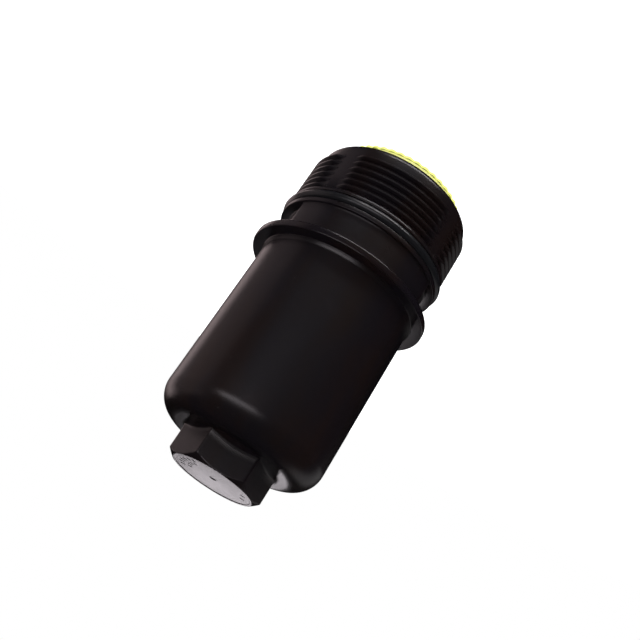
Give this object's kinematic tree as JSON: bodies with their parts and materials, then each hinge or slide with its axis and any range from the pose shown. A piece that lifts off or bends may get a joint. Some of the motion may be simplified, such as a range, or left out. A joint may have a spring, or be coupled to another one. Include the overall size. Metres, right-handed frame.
{
  "type": "oil filter",
  "caption": "Cartridge oil filter: a black screw cap with a hexagon head, flange, sealing ring and thread, holding a yellow pleated paper element with a bypass valve.",
  "frame": {"origin": "centre of the element's lower end face, on which the filter stands", "axes": "+Z along the filter's axis towards the hexagon; a flat of the hexagon faces -Y"},
  "size_m": [0.0728, 0.0728, 0.1353],
  "materials": {
    "nylon": "black glass-filled nylon, satin as moulded",
    "rubber": "smooth black nitrile rubber",
    "filter_paper": "lemon yellow resin-treated filter paper",
    "felt": "pressed non-woven felt in the paper's yellow",
    "glue": "amber hot-melt adhesive",
    "cage_plastic": "black nylon, as moulded",
    "steel": "zinc-plated spring and sheet steel"
  },
  "bodies": {
    "cap": {"screw_cap": "nylon", "housing_seal_ring": "rubber", "valve_body": "cage_plastic", "valve_ring": "rubber", "valve_retainer": "steel", "valve_spring": "steel"},
    "valve": {"valve_plate": "steel", "valve_face": "rubber"},
    "top_seal": {"upper_seal": "rubber"},
    "element": {"pleated_paper": "filter_paper", "seam_bead": "glue", "centre_tube": "cage_plastic", "lower_glue_bed": "glue", "upper_glue_bed": "glue", "lower_end_disc": "felt", "upper_end_disc": "felt", "lower_seal": "rubber"}
  },
  "joints": [
    {"name": "valve_lift", "type": "slide", "parent": "cap", "child": "valve", "axis": [0, 0, -1], "range_m": [0, 0.0035], "stiffness_N_per_m": 1500, "springref_m": -0.006, "deforming": ["valve_spring"]},
    {"name": "element_pull", "type": "slide", "parent": "cap", "child": "top_seal", "axis": [0, 0, -1], "range_m": [0, 0.13]},
    {"name": "element_turn", "type": "hinge", "parent": "top_seal", "child": "element", "pos_m": [0, 0, 0.105], "axis": [0, 0, 1], "continuous": true}
  ]
}
